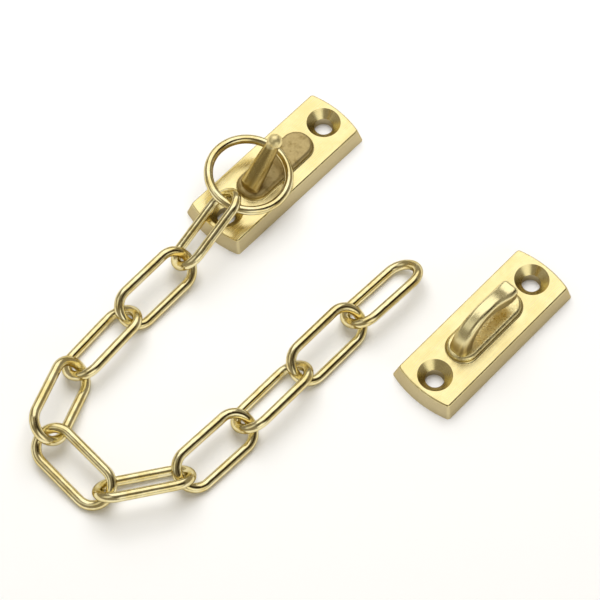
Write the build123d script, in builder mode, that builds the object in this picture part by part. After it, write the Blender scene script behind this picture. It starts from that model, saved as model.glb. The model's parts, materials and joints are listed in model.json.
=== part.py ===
from build123d import *
import os
from math import atan, atan2, cos, degrees, hypot, radians, sin, sqrt, tan

# Door chain: two cast brass plates, a ring on the horn of the first and ten wire links.
# The origin is on the back face of the chain plate, midway between its screws. +Z points
# out of the door, and both plates lie along Y. The chain lies in a bend beside them.

# Plates, alike for both: the top face from corner to corner, the thickness and the draft
PLATE_LENGTH = 44.0
PLATE_WIDTH = 16.1
PLATE_THICKNESS = 4.5
PLATE_END_BOW = 1.5
PLATE_FLARE = 1.15
PLATE_EDGE_ROUND = 0.5
PLATE_CORNER_ROUND = 0.9

# Wood screws: number 8, countersunk
SCREW_SPACING = 36.2
SCREW_HOLE_DIAMETER = 4.8
SCREW_HEAD_DIAMETER = 8.8
SCREW_HEAD_ANGLE = 90.0

# Raised pad between the screws, soft at its edge and at its foot as castings are
PAD_LENGTH = 24.0
PAD_WIDTH = 8.4
PAD_HEIGHT = 1.6
PAD_EDGE_ROUND = 1.0
PAD_FOOT_ROUND = 0.5

# Horn of the chain plate: it leans along the plate and ends in a small knob
HORN_ROOT_INSET = 2.5
HORN_LEAN = 48.0
HORN_LENGTH = 14.1
HORN_FOOT_DIAMETER = 5.6
HORN_ROOT_DIAMETER = 5.2
HORN_WAIST_DIAMETER = 4.6
HORN_NECK_DIAMETER = 3.4
HORN_KNOB_DIAMETER = 4.0
HORN_SUNK = 2.2
HORN_FOOT_INSET = 1.25
HORN_FOOT_ROUND = 0.6

# Finger of the keeper plate: a leg rises from one end of the pad and bends into an arm
# that slopes down a little along the plate and ends in a thicker blunt tip
FINGER_ROOT_INSET = 3.0
FINGER_LENGTH = 18.6
FINGER_BEND_HEIGHT = 13.8
FINGER_TIP_HEIGHT = 12.3
FINGER_LEG_WIDTH = 5.4
FINGER_LEG_DEPTH = 4.8
FINGER_LEG_CORNER = 2.0
FINGER_ARM_WIDTH = 3.8
FINGER_ARM_DEPTH = 3.8
FINGER_ARM_CORNER = 1.1
FINGER_TIP_WIDTH = 4.5
FINGER_TIP_DEPTH = 4.3
FINGER_TIP_ROUND = 1.0
FINGER_SUNK = 0.6

# Rounds stay within what carries them: largest share of a section's side for its corner, and
# of the greatest round that the finger's tip can take
LARGEST_CORNER = 0.49
LARGEST_TIP_ROUND = 0.9

# Bend of the finger from leg to arm: share of its run along the plate, share of its rise,
# share of the change from leg to arm in section (less than 0 is a flare) and slope in degrees
FINGER_BEND = 7.0
FINGER_BEND_STEPS = [
    (0.00, 0.00, -0.8, 86),
    (0.07, 0.34, 0.3, 77),
    (0.38, 0.79, 0.7, 46),
    (1.00, 1.00, 1.0, 0),
]

# Ring on the horn: wire, size over the wire's middle and the way it tips
RING_WIRE = 2.3
RING_DIAMETER = 20.4
RING_X = -1.0
RING_PAST_ROOT = 0.9
RING_SIDE_TIP = 7.0
RING_FAR_TIP = 3.0

# Links: wire, straight side and the radius of the bow at the wire's middle
LINK_WIRE = 2.5
LINK_STRAIGHT = 13.2
LINK_BOW_RADIUS = 4.75

# Clearances: slack between one bow and the next, and the gap over a plate's edge
LINK_PLAY = 0.6
REST_GAP = 0.2

# Keeper plate's centre from the chain plate's centre
KEEPER_X = 69.0
KEEPER_Y = 1.5

# How each link lies: heading, then pitch with the tip up, then roll with the left side up.
# The chain runs down from the ring, bends round and comes back beside the keeper plate,
# and each link leans the other way from the one before it.
LINK_LIES = [
    (276, -14, 40),
    (270, -3, -38),
    (274, 0, 29),
    (294, 10, -44),
    (358, -6, 24),
    (416, -2, -43),
    (448, 0, 30),
    (450, 0, -35),
    (450, 0, 36),
    (448, 0, -32),
]
FIRST_LINK_X = 0.3

WIRE_RADIUS = LINK_WIRE / 2
RING_RADIUS = RING_DIAMETER / 2
PAD_TOP = PLATE_THICKNESS + PAD_HEIGHT
HORN_ROOT_Y = HORN_ROOT_INSET - PAD_LENGTH / 2
RING_Y = HORN_ROOT_Y + RING_PAST_ROOT
FINGER_ROOT_Y = FINGER_ROOT_INSET - PAD_LENGTH / 2
FINGER_TIP_Y = FINGER_ROOT_Y + FINGER_LENGTH
BOW_REACH = 2 * LINK_BOW_RADIUS - LINK_WIRE - LINK_PLAY


def link_axes(heading, pitch, roll):
    """Directions along a link and across it, from how it lies in degrees."""
    turn = radians(heading)
    along = Vector(cos(turn) * cos(radians(pitch)), sin(turn) * cos(radians(pitch)), sin(radians(pitch)))
    left = Vector(-sin(turn), cos(turn), 0)
    across = left * cos(radians(roll)) + along.cross(left) * sin(radians(roll))
    return along, across


def ring_frame():
    """Directions across the ring, in its own plane: towards +X and towards +Y."""
    side = Vector(cos(radians(RING_SIDE_TIP)), 0, -sin(radians(RING_SIDE_TIP)))
    far = Vector(0, cos(radians(RING_FAR_TIP)), -sin(radians(RING_FAR_TIP)))
    normal = side.cross(far).normalized()
    return side, normal.cross(side)


def first_link_centre(along, across):
    """The first link hangs in the ring, and its low side clears the plate's end edge."""
    bite = WIRE_RADIUS + RING_WIRE / 2 + LINK_PLAY
    ring_wire_y = RING_Y - sqrt(RING_RADIUS**2 - (FIRST_LINK_X - RING_X) ** 2)
    to_centre = LINK_STRAIGHT / 2 + LINK_BOW_RADIUS
    x = FIRST_LINK_X + along.X * to_centre
    y = ring_wire_y + bite + along.Y * to_centre
    edge_y = -PLATE_LENGTH / 2 - PLATE_END_BOW
    run = (edge_y - y + across.Y * LINK_BOW_RADIUS) / along.Y
    slant = sqrt(1 - along.Z**2)
    side_height = PLATE_THICKNESS + (WIRE_RADIUS + REST_GAP) / slant
    return Vector(x, y, side_height + across.Z * LINK_BOW_RADIUS - along.Z * run)


def lay_chain():
    """Centre, direction along and direction across for each link, from the ring on."""
    along, across = link_axes(*LINK_LIES[0])
    centre = first_link_centre(along, across)
    chain = [(centre, along, across)]
    for before, lie in zip(LINK_LIES, LINK_LIES[1:]):
        bow = centre + along * (LINK_STRAIGHT / 2)
        along, across = link_axes(*lie)
        rise = LINK_STRAIGHT / 2 * abs(along.Z) + LINK_BOW_RADIUS * hypot(along.Z, across.Z)
        height = WIRE_RADIUS + rise
        next_bow_height = height - along.Z * LINK_STRAIGHT / 2
        reach = sqrt(BOW_REACH**2 - (next_bow_height - bow.Z) ** 2)
        turn = radians((before[0] + lie[0]) / 2)
        next_bow = Vector(bow.X + reach * cos(turn), bow.Y + reach * sin(turn), next_bow_height)
        centre = next_bow + along * (LINK_STRAIGHT / 2)
        chain.append((centre, along, across))
    return chain


def ring_centre(chain):
    """The ring's near side runs midway between the two sides of the first link."""
    centre, along, _ = chain[0]
    back = LINK_STRAIGHT / 2 + LINK_BOW_RADIUS - WIRE_RADIUS - RING_WIRE / 2 - LINK_PLAY
    wire_height = centre.Z - along.Z * back
    side, far = ring_frame()
    near_height = -far.Z * RING_RADIUS + side.Z * (FIRST_LINK_X - RING_X)
    return Vector(RING_X, RING_Y, wire_height - near_height)


def plate_casting():
    """Bowed and drafted plate with its two screw holes and the pad between them."""
    half_length = PLATE_LENGTH / 2 + PLATE_FLARE
    half_width = PLATE_WIDTH / 2 + PLATE_FLARE
    draft = degrees(atan(PLATE_FLARE / PLATE_THICKNESS))
    with BuildPart() as casting:
        with BuildSketch():
            with BuildLine():
                Line((half_width, -half_length), (half_width, half_length))
                ThreePointArc(
                    (half_width, half_length),
                    (0, half_length + PLATE_END_BOW),
                    (-half_width, half_length),
                )
                Line((-half_width, half_length), (-half_width, -half_length))
                ThreePointArc(
                    (-half_width, -half_length),
                    (0, -half_length - PLATE_END_BOW),
                    (half_width, -half_length),
                )
            make_face()
        extrude(amount=PLATE_THICKNESS, taper=draft)
        upright = casting.edges().filter_by(lambda edge: edge.bounding_box().size.Z > PLATE_THICKNESS / 2)
        fillet(upright, radius=PLATE_CORNER_ROUND)
        fillet(casting.faces().sort_by(Axis.Z)[-1].edges(), radius=PLATE_EDGE_ROUND)
        with BuildSketch(Plane.XY.offset(PLATE_THICKNESS / 2)):
            SlotOverall(PAD_LENGTH, PAD_WIDTH, rotation=90)
        extrude(amount=PLATE_THICKNESS / 2 + PAD_HEIGHT)
        fillet(casting.faces().sort_by(Axis.Z)[-1].edges(), radius=PAD_EDGE_ROUND)
        level = casting.edges().filter_by_position(Axis.Z, PLATE_THICKNESS, PLATE_THICKNESS)
        beyond_pad = (PAD_WIDTH + PLATE_WIDTH) / 4
        pad_foot = level.filter_by(lambda edge: edge.bounding_box().max.X < beyond_pad)
        pad_foot = pad_foot.filter_by(lambda edge: edge.bounding_box().min.X > -beyond_pad)
        fillet(pad_foot, radius=PAD_FOOT_ROUND)
        with Locations(Plane.XY.offset(PLATE_THICKNESS)):
            with GridLocations(0, SCREW_SPACING, 1, 2):
                CounterSinkHole(
                    radius=SCREW_HOLE_DIAMETER / 2,
                    counter_sink_radius=SCREW_HEAD_DIAMETER / 2,
                    counter_sink_angle=SCREW_HEAD_ANGLE,
                )
    return casting.part


def horn_plane():
    """Plane that holds the horn's middle line: its x runs up the horn."""
    lean = radians(HORN_LEAN)
    return Plane(
        origin=(0, HORN_ROOT_Y, PAD_TOP),
        x_dir=(0, cos(lean), sin(lean)),
        z_dir=(1, 0, 0),
    )


def horn_half():
    """Half of the horn's outline, from its sunk foot to the knob at its tip."""
    knob = HORN_KNOB_DIAMETER / 2
    neck = HORN_NECK_DIAMETER / 2
    foot = HORN_FOOT_DIAMETER / 2
    knob_start = HORN_LENGTH - sqrt(knob**2 - neck**2)
    with BuildSketch(horn_plane()) as half:
        with BuildLine():
            Line((-HORN_SUNK, 0), (-HORN_SUNK, foot))
            Line((-HORN_SUNK, foot), (0, foot))
            Spline(
                (0, foot),
                (HORN_SUNK, HORN_ROOT_DIAMETER / 2),
                (HORN_LENGTH / 2, HORN_WAIST_DIAMETER / 2),
                (knob_start, neck),
            )
            ThreePointArc((knob_start, neck), (HORN_LENGTH, knob), (HORN_LENGTH + knob, 0))
            Line((HORN_LENGTH + knob, 0), (-HORN_SUNK, 0))
        make_face()
    return half.sketch


def finger_stations():
    """Place, slope, size and corner of each section of the finger, from its foot to its tip."""
    foot = PLATE_THICKNESS - FINGER_SUNK
    rise = FINGER_BEND_HEIGHT - foot
    leg = (FINGER_LEG_WIDTH, FINGER_LEG_DEPTH, FINGER_LEG_CORNER)
    arm = (FINGER_ARM_WIDTH, FINGER_ARM_DEPTH, FINGER_ARM_CORNER)
    tip = (FINGER_TIP_WIDTH, FINGER_TIP_DEPTH, FINGER_ARM_CORNER)
    stations = []
    for along, up, change, slope in FINGER_BEND_STEPS:
        width, depth, corner = (a + (b - a) * change for a, b in zip(leg, arm))
        corner = min(corner, LARGEST_CORNER * width, LARGEST_CORNER * depth)
        y = FINGER_ROOT_Y + FINGER_BEND * along
        stations.append((y, foot + rise * up, slope, width, depth, corner))
    thick_y = FINGER_TIP_Y - FINGER_TIP_WIDTH
    drop = FINGER_TIP_HEIGHT - FINGER_BEND_HEIGHT
    arm_slope = degrees(atan2(drop, thick_y - FINGER_ROOT_Y - FINGER_BEND))
    stations.append((thick_y, FINGER_TIP_HEIGHT, arm_slope, *tip))
    end_z = FINGER_TIP_HEIGHT + FINGER_TIP_WIDTH * tan(radians(arm_slope)) / 2
    stations.append((FINGER_TIP_Y, end_z, arm_slope / 2, *tip))
    return stations


chain = lay_chain()

os.makedirs("parts", exist_ok=True)

# Chain plate: the leaning horn is turned about its own middle line, its foot is kept on the
# flat of the pad, and the casting joins it
with BuildPart() as chain_plate:
    add(horn_half())
    revolve(axis=Axis(horn_plane().origin, horn_plane().x_dir))
    with BuildSketch():
        SlotOverall(PAD_LENGTH - 2 * HORN_FOOT_INSET, PAD_WIDTH, rotation=90)
    extrude(amount=PAD_TOP + HORN_LENGTH + HORN_KNOB_DIAMETER, mode=Mode.INTERSECT)
    foot_edges = chain_plate.edges().filter_by(lambda edge: edge.center().Z > PAD_TOP)
    foot_edges = foot_edges.filter_by(lambda edge: edge.center().Y < HORN_ROOT_Y)
    fillet(foot_edges, radius=HORN_FOOT_ROUND)
    add(plate_casting())
chain_plate.part.label = "chain_plate"
export_step(chain_plate.part, "parts/chain_plate.step")

# Keeper plate: the finger that the end link drops on, and the same casting under it
with BuildPart() as keeper_plate:
    for y, z, slope, width, depth, corner in finger_stations():
        station = Plane(
            origin=(KEEPER_X, KEEPER_Y + y, z),
            x_dir=(1, 0, 0),
            z_dir=(0, cos(radians(slope)), sin(radians(slope))),
        )
        with BuildSketch(station):
            RectangleRounded(width, depth, corner)
    loft()
    high_faces = keeper_plate.faces().filter_by(lambda face: face.center().Z > PAD_TOP + PAD_HEIGHT)
    tip_edges = high_faces.sort_by(Axis.Y)[-1].edges()
    greatest = keeper_plate.part.max_fillet(tip_edges, tolerance=0.05, max_iterations=12)
    fillet(tip_edges, radius=min(FINGER_TIP_ROUND, LARGEST_TIP_ROUND * greatest))
    with Locations((KEEPER_X, KEEPER_Y, 0)):
        add(plate_casting())
keeper_plate.part.label = "keeper_plate"
export_step(keeper_plate.part, "parts/keeper_plate.step")

# Ring: one closed turn of wire round the horn
with BuildPart() as ring:
    side, far = ring_frame()
    ring_plane = Plane(origin=ring_centre(chain), x_dir=side, z_dir=side.cross(far))
    with BuildLine(ring_plane) as ring_line:
        CenterArc((0, 0), RING_RADIUS, 0, 360)
    with BuildSketch(ring_line.line ^ 0):
        Circle(RING_WIRE / 2)
    sweep()
ring.part.label = "ring"
export_step(ring.part, "parts/ring.step")

# Links: each is one length of wire bent to a long closed loop
for number, (centre, along, across) in enumerate(chain, start=1):
    name = f"link_{number:02d}"
    half = LINK_STRAIGHT / 2
    link_plane = Plane(origin=centre, x_dir=along, z_dir=along.cross(across))
    with BuildPart() as link:
        with BuildLine(link_plane) as loop:
            Line((-half, -LINK_BOW_RADIUS), (half, -LINK_BOW_RADIUS))
            ThreePointArc(
                (half, -LINK_BOW_RADIUS), (half + LINK_BOW_RADIUS, 0), (half, LINK_BOW_RADIUS)
            )
            Line((half, LINK_BOW_RADIUS), (-half, LINK_BOW_RADIUS))
            ThreePointArc(
                (-half, LINK_BOW_RADIUS), (-half - LINK_BOW_RADIUS, 0), (-half, -LINK_BOW_RADIUS)
            )
        with BuildSketch(loop.line ^ 0):
            Circle(WIRE_RADIUS)
        sweep()
    link.part.label = name
    export_step(link.part, f"parts/{name}.step")
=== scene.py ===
"""Looks of a brass door chain: two cast plates, a ring and ten wire links on a white table."""
import json
import logging
import math
from dataclasses import dataclass
from enum import Enum

import bpy
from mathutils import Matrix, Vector

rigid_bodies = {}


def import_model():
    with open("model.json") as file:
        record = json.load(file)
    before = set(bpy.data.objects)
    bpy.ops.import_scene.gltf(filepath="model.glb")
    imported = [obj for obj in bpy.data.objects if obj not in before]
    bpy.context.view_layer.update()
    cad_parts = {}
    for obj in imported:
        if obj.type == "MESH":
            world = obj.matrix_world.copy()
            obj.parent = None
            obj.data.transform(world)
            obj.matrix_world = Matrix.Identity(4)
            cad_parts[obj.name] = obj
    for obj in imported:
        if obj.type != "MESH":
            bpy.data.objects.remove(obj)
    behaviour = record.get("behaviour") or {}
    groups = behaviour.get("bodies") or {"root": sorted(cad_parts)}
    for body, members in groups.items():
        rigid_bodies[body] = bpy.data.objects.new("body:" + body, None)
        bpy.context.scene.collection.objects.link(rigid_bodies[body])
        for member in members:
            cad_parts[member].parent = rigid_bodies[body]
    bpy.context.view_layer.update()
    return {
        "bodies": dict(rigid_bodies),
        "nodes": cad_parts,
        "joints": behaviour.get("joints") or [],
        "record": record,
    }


LOG = logging.getLogger("door_chain")
MM = 0.001

Colour = tuple[float, float, float]
Point = tuple[float, float, float]
Span = tuple[float, float]
Socket = bpy.types.NodeSocket

RISE: Span = (0.0, 1.0)
FALL: Span = (1.0, 0.0)


class Sum(Enum):
    """Sums that a Math node does."""

    TIMES = "MULTIPLY"
    PLUS = "ADD"
    MINUS = "SUBTRACT"
    LEAST = "MINIMUM"
    SIZE = "ABSOLUTE"
    WAVE = "SINE"


class Mix(Enum):
    """What a Mix node mixes: its data type and the places of its two inputs and its output."""

    COLOUR = ("RGBA", 6, 7, 2)
    NUMBER = ("FLOAT", 2, 3, 0)


class NodeDesk:
    """Small helper that lays out shader nodes and joins them."""

    def __init__(self, tree: bpy.types.NodeTree) -> None:
        """Starts on an empty tree.

        Args:
            tree: Node tree that is cleared and filled.
        """
        self.tree = tree
        tree.nodes.clear()

    def add(self, kind: str, **settings: object) -> bpy.types.Node:
        """Adds a node.

        Args:
            kind: Blender's name of the node type.
            **settings: Attributes of the node.

        Returns:
            The new node.
        """
        node = self.tree.nodes.new(kind)
        for name, value in settings.items():
            setattr(node, name, value)
        return node

    def feed(self, value: object, into: Socket) -> None:
        """Gives a socket a value, or joins another socket to it.

        Args:
            value: Number, colour, vector or socket.
            into: Socket that takes it.
        """
        if isinstance(value, bpy.types.NodeSocket):
            self.tree.links.new(value, into)
        elif isinstance(value, tuple) and len(value) == 3 and len(into.default_value) == 4:
            into.default_value = (*value, 1.0)
        else:
            into.default_value = value

    def sum(self, kind: Sum, first: object, second: object = 0.0) -> Socket:
        """Does one sum.

        Args:
            kind: The sum.
            first: Number or socket.
            second: Number or socket.

        Returns:
            Socket with the result.
        """
        node = self.add("ShaderNodeMath", operation=kind.value)
        self.feed(first, node.inputs[0])
        self.feed(second, node.inputs[1])
        return node.outputs["Value"]

    def times(self, first: object, second: object) -> Socket:
        """Multiplies two numbers or sockets."""
        return self.sum(Sum.TIMES, first, second)

    def axes(self, vector: Socket) -> tuple[Socket, Socket, Socket]:
        """Splits a vector into its three parts.

        Args:
            vector: Socket with the vector.

        Returns:
            Sockets with its X, Y and Z parts.
        """
        node = self.add("ShaderNodeSeparateXYZ")
        self.feed(vector, node.inputs["Vector"])
        return node.outputs["X"], node.outputs["Y"], node.outputs["Z"]

    def length(self, x: object, y: object) -> Socket:
        """Length of a step in the table's plane.

        Args:
            x: Number or socket with its part along X.
            y: Number or socket with its part along Y.

        Returns:
            Socket with the length.
        """
        step = self.add("ShaderNodeCombineXYZ")
        self.feed(x, step.inputs["X"])
        self.feed(y, step.inputs["Y"])
        node = self.add("ShaderNodeVectorMath", operation="LENGTH")
        self.feed(step.outputs["Vector"], node.inputs[0])
        return node.outputs["Value"]

    def span(self, source: Socket, read: Span, give: Span = RISE) -> Socket:
        """Maps one range of values smoothly to another, and stops at its ends.

        Args:
            source: Values to map.
            read: Start and end of the range read.
            give: Values given at its start and end.

        Returns:
            Socket with the mapped values.
        """
        node = self.add("ShaderNodeMapRange", interpolation_type="SMOOTHSTEP")
        self.feed(source, node.inputs["Value"])
        for value, name in zip((*read, *give), ("From Min", "From Max", "To Min", "To Max")):
            self.feed(value, node.inputs[name])
        return node.outputs["Result"]

    def mix(self, kind: Mix, share: Socket, first: object, second: object) -> Socket:
        """Mixes two colours or two numbers.

        Args:
            kind: What is mixed.
            share: Part taken by the second one.
            first: Value, or a socket with one.
            second: Value, or a socket with one.

        Returns:
            Socket with the mixed value.
        """
        data_type, first_input, second_input, output = kind.value
        node = self.add("ShaderNodeMix", data_type=data_type)
        self.feed(share, node.inputs[0])
        self.feed(first, node.inputs[first_input])
        self.feed(second, node.inputs[second_input])
        return node.outputs[output]

    def relief(self, height: Socket, depth: float, under: Socket | None = None) -> Socket:
        """Raises a pattern a little from the surface.

        Args:
            height: Pattern from 0 to 1.
            depth: Its depth in millimetres.
            under: Normal from an earlier relief.

        Returns:
            Socket with the new normal.
        """
        node = self.add("ShaderNodeBump")
        node.inputs["Distance"].default_value = depth * MM
        self.feed(height, node.inputs["Height"])
        if under is not None:
            self.feed(under, node.inputs["Normal"])
        return node.outputs["Normal"]


@dataclass(frozen=True)
class Pattern:
    """Cloudy pattern: patches per metre, finer layers, their strength and a stretch along Y."""

    scale: float
    layers: float
    strength: float
    along: float = 1.0

    def lay(self, desk: NodeDesk, place: Socket) -> Socket:
        """Lays the pattern on a surface.

        Args:
            desk: Where the nodes go.
            place: Coordinates in metres.

        Returns:
            Socket with values from 0 to 1.
        """
        stretch = desk.add("ShaderNodeMapping")
        stretch.inputs["Scale"].default_value = (1.0, self.along, 1.0)
        desk.feed(place, stretch.inputs["Vector"])
        node = desk.add("ShaderNodeTexNoise")
        node.inputs["Scale"].default_value = self.scale
        node.inputs["Detail"].default_value = self.layers
        node.inputs["Roughness"].default_value = self.strength
        desk.feed(stretch.outputs["Vector"], node.inputs["Vector"])
        return node.outputs["Fac"]


@dataclass(frozen=True)
class BareMetal:
    """What both finishes share: a name, and a tint where the metal is seen edge on."""

    name: str
    edge_tint: Colour

    def start(self) -> tuple[bpy.types.Material, NodeDesk, bpy.types.Node]:
        """Starts a metal material.

        Returns:
            The material, the desk for its nodes and its shader.
        """
        material = bpy.data.materials.new(self.name)
        material.use_nodes = True
        desk = NodeDesk(material.node_tree)
        output = desk.add("ShaderNodeOutputMaterial")
        shader = desk.add("ShaderNodeBsdfPrincipled")
        desk.feed(shader.outputs["BSDF"], output.inputs["Surface"])
        shader.inputs["Metallic"].default_value = 1.0
        shader.inputs["Specular Tint"].default_value = (*self.edge_tint, 1.0)
        return material, desk, shader


@dataclass(frozen=True)
class CastZones:
    """Where each kind of surface lies on a cast plate, as shares from 0 to 1."""

    # The pad band: its roughness, pits and grain are real cast skin, and its colour also carries
    # painted light.
    skin: Socket
    raised: Socket
    knob: Socket
    low: Socket
    flat: Socket
    side: Socket
    cone: Socket
    turning: Socket


@dataclass(frozen=True)
class CastMarks:
    """Patterns on a cast plate: polishing streaks, clouds, grain and pits."""

    belt: Socket
    clouds: Socket
    grain: Socket
    pits: Socket


@dataclass(frozen=True)
class CastBrass(BareMetal):
    """Cast brass: satin polished flats, a pad left as cast and turned countersinks.
    Some colours are painted light: shade on the side faces, the flanks, the chain plate's horn
    and pad, a highlight on the horn's tip and a reflection on the keeper's pad.

    Sizes and depths are in millimetres, and a gloss is a roughness. A start or an end is the
    stretch past an edge over which one zone gives way to the next. A facing is how far a face
    looks up, from 0 to 1, and a reading is the part of a pattern's values that shows.
    """

    name: str = "chain_plate_brass"
    edge_tint: Colour = (0.50, 0.42, 0.28)

    polished: Colour = (0.90, 0.79, 0.42)
    worn: Colour = (0.84, 0.70, 0.33)
    # Painted shade: the plates' side faces are darkened where they would mirror the shadowed
    # table.
    side_painted_shade: Colour = (0.53, 0.45, 0.28)
    # On the chain plate the horn's dark brown is painted shade; the keeper plate keeps its finger
    # bright brass.
    raised: Colour = (0.54, 0.41, 0.15)
    # Painted shade: the sides of the horn and the finger are darkened.
    flank_painted_shade: Colour = (0.46, 0.34, 0.12)
    # Painted highlight: the horn's tip is lighter than the rest of the horn.
    knob: Colour = (0.96, 0.83, 0.44)
    # Pad colour: a cast skin tone darkened with painted shade, under the horn and where the pad
    # tilts from the light.
    pad_skin_and_painted_light: Colour = (0.55, 0.43, 0.20)
    stain: Colour = (0.34, 0.24, 0.08)
    pad_skin_and_light_share: float = 0.9
    stain_share: float = 0.6

    satin_gloss: Span = (0.20, 0.30)
    cloud_gloss: Span = (0.22, 0.32)
    side_gloss: Span = (0.34, 0.46)
    skin_gloss: Span = (0.44, 0.58)
    cone_gloss: float = 0.22
    knob_gloss: float = 0.42

    centres: tuple[Span, ...] = ((0.0, 0.0), (69.0, 1.5))
    plate_top: float = 4.5
    pad_top: float = 6.1
    knob_foot: float = 16.4
    screw_spacing: float = 36.2
    screw_head: float = 8.8
    turning_pitch: float = 0.32

    skin_start: Span = (0.25, 0.7)
    skin_end: Span = (0.1, 1.6)
    raised_start: Span = (0.2, 1.6)
    knob_start: Span = (-0.2, 0.3)
    edge_end: Span = (0.0, 0.2)
    cone_end: Span = (0.0, 0.15)
    flat_facing: Span = (0.80, 0.97)
    side_facing: Span = (0.15, 0.55)

    belt_fine: Pattern = Pattern(3400.0, 4.0, 0.6, along=0.045)
    belt_broad: Pattern = Pattern(700.0, 2.0, 0.5, along=0.12)
    belt_fine_share: float = 0.6
    clouds: Pattern = Pattern(150.0, 5.0, 0.6)
    grain: Pattern = Pattern(1900.0, 3.0, 0.6)
    pits: Pattern = Pattern(620.0, 2.0, 0.5)
    worn_reading: Span = (0.32, 0.70)
    cloud_reading: Span = (0.30, 0.70)
    fine_reading: Span = (0.35, 0.65)
    stain_reading: Span = (0.50, 0.68)

    belt_depth: float = 0.006
    pit_depth: float = 0.09
    grain_depth: float = 0.03
    turning_depth: float = 0.004
    cloud_depth: float = 0.05

    def marks(self, desk: NodeDesk, place: Socket) -> CastMarks:
        """Lays all the patterns on the plate.

        Args:
            desk: Where the nodes go.
            place: Coordinates in metres.

        Returns:
            The patterns.
        """
        fine = desk.times(self.belt_fine.lay(desk, place), self.belt_fine_share)
        broad = desk.times(self.belt_broad.lay(desk, place), 1.0 - self.belt_fine_share)
        return CastMarks(
            belt=desk.sum(Sum.PLUS, fine, broad),
            clouds=self.clouds.lay(desk, place),
            grain=self.grain.lay(desk, place),
            pits=self.pits.lay(desk, place),
        )

    def screw_distance(self, desk: NodeDesk, x: Socket, y: Socket) -> Socket:
        """Distance to the nearest screw hole's middle.

        Args:
            desk: Where the nodes go.
            x: Place across the plates, in metres.
            y: Place along the plates, in metres.

        Returns:
            Socket with the distance in metres.
        """
        nearest: Socket | float = 1.0
        for centre_x, centre_y in self.centres:
            across = desk.sum(Sum.MINUS, x, centre_x * MM)
            along = desk.sum(Sum.SIZE, desk.sum(Sum.MINUS, y, centre_y * MM))
            beyond = desk.sum(Sum.MINUS, along, self.screw_spacing / 2 * MM)
            nearest = desk.sum(Sum.LEAST, nearest, desk.length(across, beyond))
        return nearest

    def zones(self, desk: NodeDesk, place: Socket) -> CastZones:
        """Finds the kinds of surface from the place and the way that it faces.

        Args:
            desk: Where the nodes go.
            place: Coordinates in metres.

        Returns:
            The zones.
        """
        x, y, z = desk.axes(place)
        facing = desk.axes(desk.add("ShaderNodeNewGeometry").outputs["Normal"])[2]
        screw = self.screw_distance(desk, x, y)

        def past(source: Socket, edge: float, stretch: Span, give: Span) -> Socket:
            """Share that changes over a short stretch past an edge."""
            return desk.span(source, ((edge + stretch[0]) * MM, (edge + stretch[1]) * MM), give)

        on_plate = past(z, self.plate_top, self.skin_start, RISE)
        under_pad_top = past(z, self.pad_top, self.skin_end, FALL)
        return CastZones(
            skin=desk.times(on_plate, under_pad_top),
            raised=past(z, self.pad_top, self.raised_start, RISE),
            knob=past(z, self.knob_foot, self.knob_start, RISE),
            low=past(z, self.plate_top, self.edge_end, FALL),
            flat=desk.span(facing, self.flat_facing),
            side=desk.span(facing, self.side_facing, FALL),
            cone=past(screw, self.screw_head / 2, self.cone_end, FALL),
            turning=desk.sum(Sum.WAVE, desk.times(screw, 2 * math.pi / (self.turning_pitch * MM))),
        )

    def tone(self, desk: NodeDesk, marks: CastMarks, zones: CastZones) -> Socket:
        """Colour of the brass, zone by zone, with painted shade and painted highlights in some
        zones.

        Args:
            desk: Where the nodes go.
            marks: Patterns on the plate.
            zones: Kinds of surface.

        Returns:
            Socket with the colour.
        """
        wear = desk.span(marks.clouds, self.worn_reading)
        tone = desk.mix(Mix.COLOUR, wear, self.polished, self.worn)
        dirty = desk.times(zones.skin, desk.span(marks.pits, self.stain_reading))
        for share, colour in (
            # Pad: cast skin tone with painted shade on the chain plate and a painted reflection on
            # the keeper plate.
            (desk.times(zones.skin, self.pad_skin_and_light_share), self.pad_skin_and_painted_light),
            # Horn and finger: on the chain plate this tone is painted shade.
            (zones.raised, self.raised),
            # Painted shade on the sides of the horn and the finger.
            (desk.times(zones.raised, zones.side), self.flank_painted_shade),
            # Painted highlight on the horn's tip.
            (zones.knob, self.knob),
            # Painted shade on the plates' side faces, below the top face.
            (desk.times(zones.side, zones.low), self.side_painted_shade),
            (desk.times(dirty, self.stain_share), self.stain),
        ):
            tone = desk.mix(Mix.COLOUR, share, tone, colour)
        return tone

    def gloss(self, desk: NodeDesk, marks: CastMarks, zones: CastZones) -> Socket:
        """Roughness of the brass, zone by zone.

        Args:
            desk: Where the nodes go.
            marks: Patterns on the plate.
            zones: Kinds of surface.

        Returns:
            Socket with the roughness.
        """
        gloss = desk.span(marks.clouds, self.cloud_reading, self.cloud_gloss)
        for share, rough in (
            (zones.flat, desk.span(marks.belt, self.fine_reading, self.satin_gloss)),
            (zones.side, desk.span(marks.grain, self.fine_reading, self.side_gloss)),
            (zones.skin, desk.span(marks.grain, self.fine_reading, self.skin_gloss)),
            (zones.cone, self.cone_gloss),
            (zones.knob, self.knob_gloss),
        ):
            gloss = desk.mix(Mix.NUMBER, share, gloss, rough)
        return gloss

    def surface(self, desk: NodeDesk, marks: CastMarks, zones: CastZones) -> Socket:
        """Fine relief: streaks, pits and grain of the skin, turning rings and slow waves.

        Args:
            desk: Where the nodes go.
            marks: Patterns on the plate.
            zones: Kinds of surface.

        Returns:
            Socket with the normal.
        """
        normal = desk.relief(marks.belt, self.belt_depth)
        for height, depth in (
            (desk.times(marks.pits, zones.skin), self.pit_depth),
            (desk.times(marks.grain, zones.skin), self.grain_depth),
            (desk.times(zones.turning, zones.cone), self.turning_depth),
            (marks.clouds, self.cloud_depth),
        ):
            normal = desk.relief(height, depth, normal)
        return normal

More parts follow.
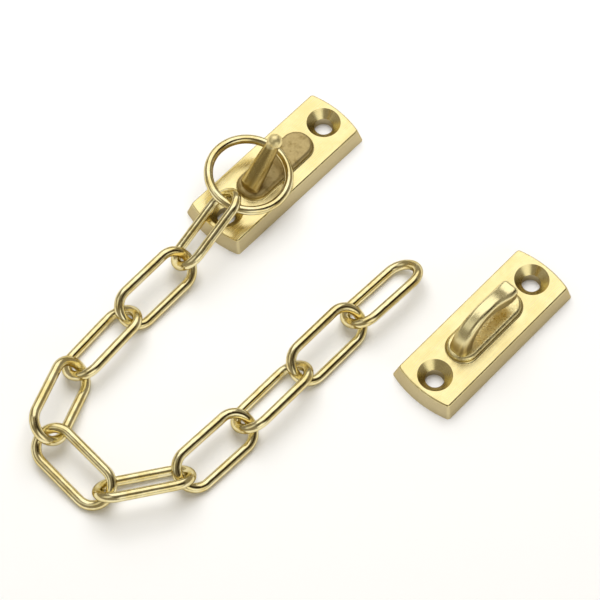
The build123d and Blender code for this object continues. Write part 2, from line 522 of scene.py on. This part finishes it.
    def material(self) -> bpy.types.Material:
        """Builds the node material.

        Returns:
            The material, ready to be put on a mesh.
        """
        material, desk, shader = self.start()
        place = desk.add("ShaderNodeTexCoord").outputs["Object"]
        marks = self.marks(desk, place)
        zones = self.zones(desk, place)
        desk.feed(self.tone(desk, marks, zones), shader.inputs["Base Color"])
        desk.feed(self.gloss(desk, marks, zones), shader.inputs["Roughness"])
        desk.feed(self.surface(desk, marks, zones), shader.inputs["Normal"])
        return material


@dataclass(frozen=True)
class WireBrass(BareMetal):
    """Drawn brass wire, tumbled bright, with small nicks and a deeper tone in places.

    Depths are in millimetres, and a gloss is a roughness. A reading is the part of a pattern's
    values that shows.
    """

    name: str = "brass_wire"
    edge_tint: Colour = (0.30, 0.23, 0.10)

    bright: Colour = (0.91, 0.82, 0.50)
    deep: Colour = (0.80, 0.66, 0.30)
    wire_gloss: Span = (0.12, 0.20)

    clouds: Pattern = Pattern(260.0, 4.0, 0.6)
    nicks: Pattern = Pattern(2200.0, 3.0, 0.65)
    dents: Pattern = Pattern(480.0, 1.0, 0.4)
    cloud_reading: Span = (0.35, 0.70)
    nick_reading: Span = (0.35, 0.68)
    nick_depth: float = 0.008
    dent_depth: float = 0.05

    def material(self) -> bpy.types.Material:
        """Builds the node material.

        Returns:
            The material, ready to be put on a mesh.
        """
        material, desk, shader = self.start()
        place = desk.add("ShaderNodeTexCoord").outputs["Object"]
        clouds = desk.span(self.clouds.lay(desk, place), self.cloud_reading)
        nicks = self.nicks.lay(desk, place)
        dents = self.dents.lay(desk, place)
        tone = desk.mix(Mix.COLOUR, clouds, self.bright, self.deep)
        gloss = desk.span(nicks, self.nick_reading, self.wire_gloss)
        normal = desk.relief(dents, self.dent_depth, desk.relief(nicks, self.nick_depth))
        desk.feed(tone, shader.inputs["Base Color"])
        desk.feed(gloss, shader.inputs["Roughness"])
        desk.feed(normal, shader.inputs["Normal"])
        return material


@dataclass(frozen=True)
class SubAssembly:
    """Parts that are made alike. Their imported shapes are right, and they only get a finish."""

    title: str
    nodes: tuple[str, ...]
    slot: str
    finish: CastBrass | WireBrass

    def dress(self, frame: dict) -> list[bpy.types.Object]:
        """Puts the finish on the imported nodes.

        Args:
            frame: The loaded frame.

        Returns:
            The nodes' objects.
        """
        material = self.finish.material()
        pieces = [frame["nodes"][node] for node in self.nodes]
        for piece in pieces:
            piece.data.materials.clear()
            piece.data.materials.append(material)
            LOG.info("%s, %s: %d faces", self.title, piece.name, len(piece.data.polygons))
        return pieces


@dataclass(frozen=True)
class DoorChain:
    """The whole set, in the order in which it hangs together."""

    chain_plate: SubAssembly = SubAssembly(
        "chain plate", ("chain_plate",), "cast_brass", CastBrass()
    )
    keeper_plate: SubAssembly = SubAssembly(
        "keeper plate",
        ("keeper_plate",),
        "cast_brass",
        CastBrass(
            name="keeper_plate_brass",
            raised=(0.92, 0.82, 0.46),
            # A lighter painted shade on the finger's sides.
            flank_painted_shade=(0.62, 0.49, 0.22),
            # Painted reflection: the keeper's pad is lightened where it mirrors the light.
            pad_skin_and_painted_light=(0.97, 0.86, 0.46),
            stain=(0.78, 0.64, 0.28),
            pad_skin_and_light_share=0.7,
            skin_gloss=(0.26, 0.40),
        ),
    )
    wires: SubAssembly = SubAssembly(
        "ring and links",
        ("ring", *(f"link_{number:02d}" for number in range(1, 11))),
        "brass_wire",
        WireBrass(),
    )

    def dress(self, frame: dict) -> None:
        """Puts the finishes on all the parts."""
        for group in (self.chain_plate, self.keeper_plate, self.wires):
            group.dress(frame)


@dataclass(frozen=True)
class SoftBox:
    """One flat square studio light, set by its direction from the middle of the table.

    Where it isn't mirrored it lights the table and shapes the shadows, and the metal doesn't
    show it.
    """

    name: str
    towards: Point
    distance: float
    side: float
    glow: float
    mirrored: bool = True

    def build(self, centre: Point) -> bpy.types.Object:
        """Hangs the light so that it faces the table.

        Args:
            centre: Point that it is aimed at.

        Returns:
            The light's object.
        """
        light = bpy.data.lights.new(self.name, "AREA")
        light.shape = "SQUARE"
        light.size = self.side
        light.energy = self.glow * math.pi * self.side**2
        lamp = bpy.data.objects.new(self.name, light)
        bpy.context.scene.collection.objects.link(lamp)
        lamp.visible_glossy = self.mirrored
        back = Vector(self.towards).normalized()
        lamp.location = Vector(centre) + back * self.distance
        lamp.rotation_euler = (-back).to_track_quat("-Z", "Y").to_euler()
        LOG.info("%s: %.2f m wide, %.1f W", self.name, self.side, light.energy)
        return lamp


@dataclass(frozen=True)
class Patch:
    """Part of the room, round one direction, that is brighter or darker than the rest.

    It is full within its inner angle and gone at its outer angle, in degrees.
    """

    towards: Point
    inner: float
    outer: float
    glow: Colour


@dataclass(frozen=True)
class WhiteTable:
    """Plain white table top, overexposed as in the photograph."""

    half: float = 1.6
    white: Colour = (0.94, 0.94, 0.94)
    roughness: float = 0.9
    specular: float = 0.1
    glow: float = 0.05

    def build(self) -> bpy.types.Object:
        """Makes the table top.

        Returns:
            The floor's object.
        """
        half = self.half
        mesh = bpy.data.meshes.new("floor")
        corners = [(-half, -half, 0.0), (half, -half, 0.0), (half, half, 0.0), (-half, half, 0.0)]
        mesh.from_pydata(corners, [], [(0, 1, 2, 3)])
        floor = bpy.data.objects.new("floor", mesh)
        bpy.context.scene.collection.objects.link(floor)
        material = bpy.data.materials.new("floor_white")
        material.use_nodes = True
        shader = material.node_tree.nodes["Principled BSDF"]
        shader.inputs["Base Color"].default_value = (*self.white, 1.0)
        shader.inputs["Roughness"].default_value = self.roughness
        shader.inputs["Specular IOR Level"].default_value = self.specular
        shader.inputs["Emission Color"].default_value = (1.0, 1.0, 1.0, 1.0)
        shader.inputs["Emission Strength"].default_value = self.glow
        mesh.materials.append(material)
        LOG.info("floor: %.1f m wide", 2 * half)
        return floor


@dataclass(frozen=True)
class Room:
    """Dim warm room round the table, with the bright and dark parts that the metal mirrors."""

    low: Colour = (0.31, 0.28, 0.23)
    high: Colour = (0.25, 0.225, 0.18)
    heights: Span = (-0.1, 0.7)
    patches: tuple[Patch, ...] = (
        Patch((0.78, -0.18, 0.42), 12.0, 32.0, (1.10, 1.08, 1.00)),
        Patch((-0.40, -0.55, 0.72), 10.0, 23.0, (0.80, 0.78, 0.72)),
        Patch((0.57, 0.30, 0.75), 12.0, 30.0, (0.035, 0.025, 0.012)),
        Patch((0.32, -0.35, 0.88), 6.0, 22.0, (0.10, 0.08, 0.05)),
    )

    def build(self) -> bpy.types.World:
        """Gives the room its soft glow and its patches.

        Returns:
            The world.
        """
        world = bpy.data.worlds.new("room")
        bpy.context.scene.world = world
        world.use_nodes = True
        desk = NodeDesk(world.node_tree)
        output = desk.add("ShaderNodeOutputWorld")
        glow = desk.add("ShaderNodeBackground")
        desk.feed(glow.outputs["Background"], output.inputs["Surface"])
        sight = desk.add("ShaderNodeTexCoord").outputs["Generated"]
        height = desk.span(desk.axes(sight)[2], self.heights)
        shade = desk.mix(Mix.COLOUR, height, self.low, self.high)
        for patch in self.patches:
            near = desk.add("ShaderNodeVectorMath", operation="DOT_PRODUCT")
            desk.feed(sight, near.inputs[0])
            near.inputs[1].default_value = Vector(patch.towards).normalized()
            edge = (math.cos(math.radians(patch.outer)), math.cos(math.radians(patch.inner)))
            share = desk.span(near.outputs["Value"], edge)
            shade = desk.mix(Mix.COLOUR, share, shade, patch.glow)
        desk.feed(shade, glow.inputs["Color"])
        glow.inputs["Strength"].default_value = 1.0
        LOG.info("room: %d patches", len(self.patches))
        return world


@dataclass(frozen=True)
class PhotoCamera:
    """Camera where the photograph was taken from. Angles are in degrees, the lens in mm."""

    look_at: Point = (0.0292, -0.0221, 0.0)
    azimuth: float = 43.0
    elevation: float = 61.8
    distance: float = 0.620
    lens: float = 149.3
    film: float = 36.0
    clip: Span = (0.01, 20.0)

    def build(self) -> bpy.types.Object:
        """Sets up the camera and makes it the scene's own.

        Returns:
            The camera's object.
        """
        data = bpy.data.cameras.new("photo_camera")
        data.lens = self.lens
        data.sensor_width = self.film
        data.clip_start, data.clip_end = self.clip
        camera = bpy.data.objects.new("photo_camera", data)
        bpy.context.scene.collection.objects.link(camera)
        turn = math.radians(self.azimuth)
        rise = math.radians(self.elevation)
        back = Vector(
            (math.sin(turn) * math.cos(rise), -math.cos(turn) * math.cos(rise), math.sin(rise))
        )
        camera.location = Vector(self.look_at) + back * self.distance
        camera.rotation_euler = (-back).to_track_quat("-Z", "Y").to_euler()
        bpy.context.scene.camera = camera
        LOG.info("camera: %.0f degrees round, %.0f up", self.azimuth, self.elevation)
        return camera


@dataclass(frozen=True)
class Studio:
    """White table, a soft window light, a soft light for the shadows alone and the room."""

    centre: Point = (0.030, -0.022, 0.0)
    table: WhiteTable = WhiteTable()
    room: Room = Room()
    camera: PhotoCamera = PhotoCamera()
    boxes: tuple[SoftBox, ...] = (
        SoftBox("window", (-0.42, 0.39, 0.82), 0.9, 1.0, 1.06),
        SoftBox("shadow_key", (-0.26, 0.26, 0.93), 0.9, 0.80, 2.9, mirrored=False),
    )

    def build(self) -> None:
        """Sets up the table, the lights, the room and the camera."""
        self.table.build()
        for box in self.boxes:
            box.build(self.centre)
        self.room.build()
        self.camera.build()
        bpy.context.scene.view_settings.view_transform = "Standard"


def main() -> None:
    """Builds the scene in order and reports each piece."""
    logging.basicConfig(level=logging.INFO, format="%(name)s %(message)s")
    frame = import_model()
    Studio().build()
    DoorChain().dress(frame)


if __name__ == "__main__":
    main()
